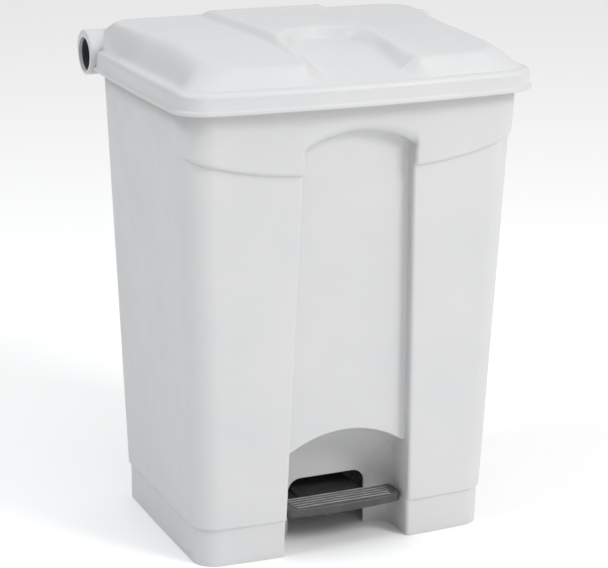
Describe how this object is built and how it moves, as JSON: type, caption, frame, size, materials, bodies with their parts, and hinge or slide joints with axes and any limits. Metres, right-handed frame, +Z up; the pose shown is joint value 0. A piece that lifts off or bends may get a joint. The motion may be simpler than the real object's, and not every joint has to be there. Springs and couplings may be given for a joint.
{
  "type": "pedal bin",
  "caption": "Tall white plastic pedal bin with a domed hinged lid, a recessed front channel and a dark foot pedal that lifts the lid by a rod behind.",
  "frame": {"origin": "on the floor, under the middle of the bounding box", "axes": "+Z up; -Y is the front, with the pedal and the channel; +X is the right-hand side seen from the front, along the hinge"},
  "size_m": [0.502, 0.3867, 0.6725],
  "materials": {
    "white_plastic": "moulded polypropylene, fine matt texture",
    "charcoal_plastic": "moulded polypropylene, satin",
    "nylon": "natural nylon, satin",
    "plated_steel": "zinc-plated, satin"
  },
  "bodies": {
    "container": {"container_body": "white_plastic", "hinge_tube": "charcoal_plastic", "hinge_bracket_left": "white_plastic", "hinge_bracket_right": "white_plastic", "bracket_screw_1": "plated_steel", "bracket_screw_2": "plated_steel", "bracket_screw_3": "plated_steel", "bracket_screw_4": "plated_steel", "rod_guide_lower": "nylon", "rod_guide_upper": "nylon", "guide_screw_1": "plated_steel", "guide_screw_2": "plated_steel", "guide_screw_3": "plated_steel", "guide_screw_4": "plated_steel", "axle_block_left": "nylon", "axle_block_right": "nylon", "axle_block_screw_1": "plated_steel", "axle_block_screw_2": "plated_steel", "axle_block_screw_3": "plated_steel", "axle_block_screw_4": "plated_steel", "pivot_axle": "plated_steel", "axle_clip_left": "plated_steel", "axle_clip_right": "plated_steel"},
    "lid": {"lid": "white_plastic"},
    "rod": {"lift_rod": "plated_steel", "rod_cap": "nylon", "rod_clevis": "nylon", "clevis_pin": "plated_steel"},
    "pedal": {"pedal": "charcoal_plastic"}
  },
  "joints": [
    {"name": "lid_hinge", "type": "hinge", "parent": "container", "child": "lid", "pos_m": [0, 0.1625, 0.6215], "axis": [-1, 0, 0], "range_deg": [0, 75]},
    {"name": "rod_slide", "type": "slide", "parent": "container", "child": "rod", "axis": [0, 0, 1], "range_m": [0, 0.04917]},
    {"name": "pedal_pivot", "type": "hinge", "parent": "container", "child": "pedal", "pos_m": [0, -0.0165, 0.05], "axis": [1, 0, 0], "range_deg": [0, 18.95]}
  ],
  "couplings": [
    {"joint": "rod_slide", "follows": "lid_hinge", "m_per_rad": 0.037484},
    {"joint": "pedal_pivot", "follows": "lid_hinge", "ratio": 0.25204}
  ]
}
